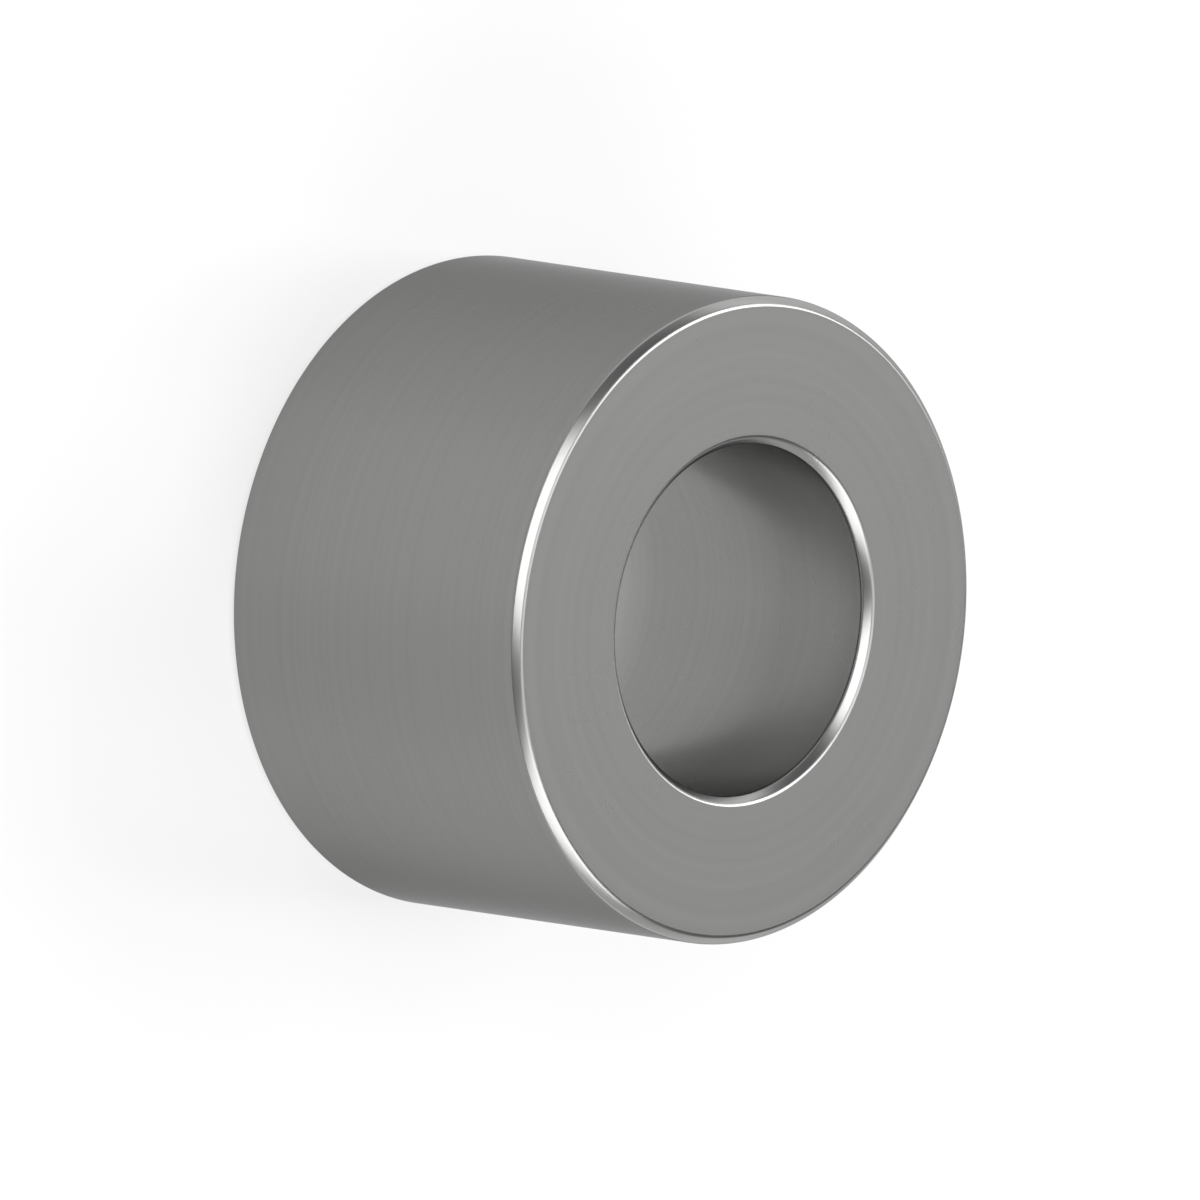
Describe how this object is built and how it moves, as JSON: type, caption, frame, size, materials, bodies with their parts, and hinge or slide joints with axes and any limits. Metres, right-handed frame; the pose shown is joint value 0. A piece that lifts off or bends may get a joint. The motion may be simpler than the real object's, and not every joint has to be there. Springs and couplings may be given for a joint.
{
  "type": "spacer sleeve",
  "caption": "Short, thick-walled plain round sleeve that slips over a bolt and keeps the two parts clamped against its end faces a fixed distance apart.",
  "frame": {"origin": "centre of the bore in the plane of the lower end face, which the sleeve stands on", "axes": "+Z along the axis of the bore and of the outer wall, upwards out of the upper end face; the sleeve is round and both ends are alike, so X and Y have no marked direction"},
  "size_m": [0.024, 0.024, 0.0148],
  "materials": {
    "turned_steel": "satin"
  },
  "bodies": {
    "root": {"sleeve": "turned_steel"}
  },
  "joints": []
}
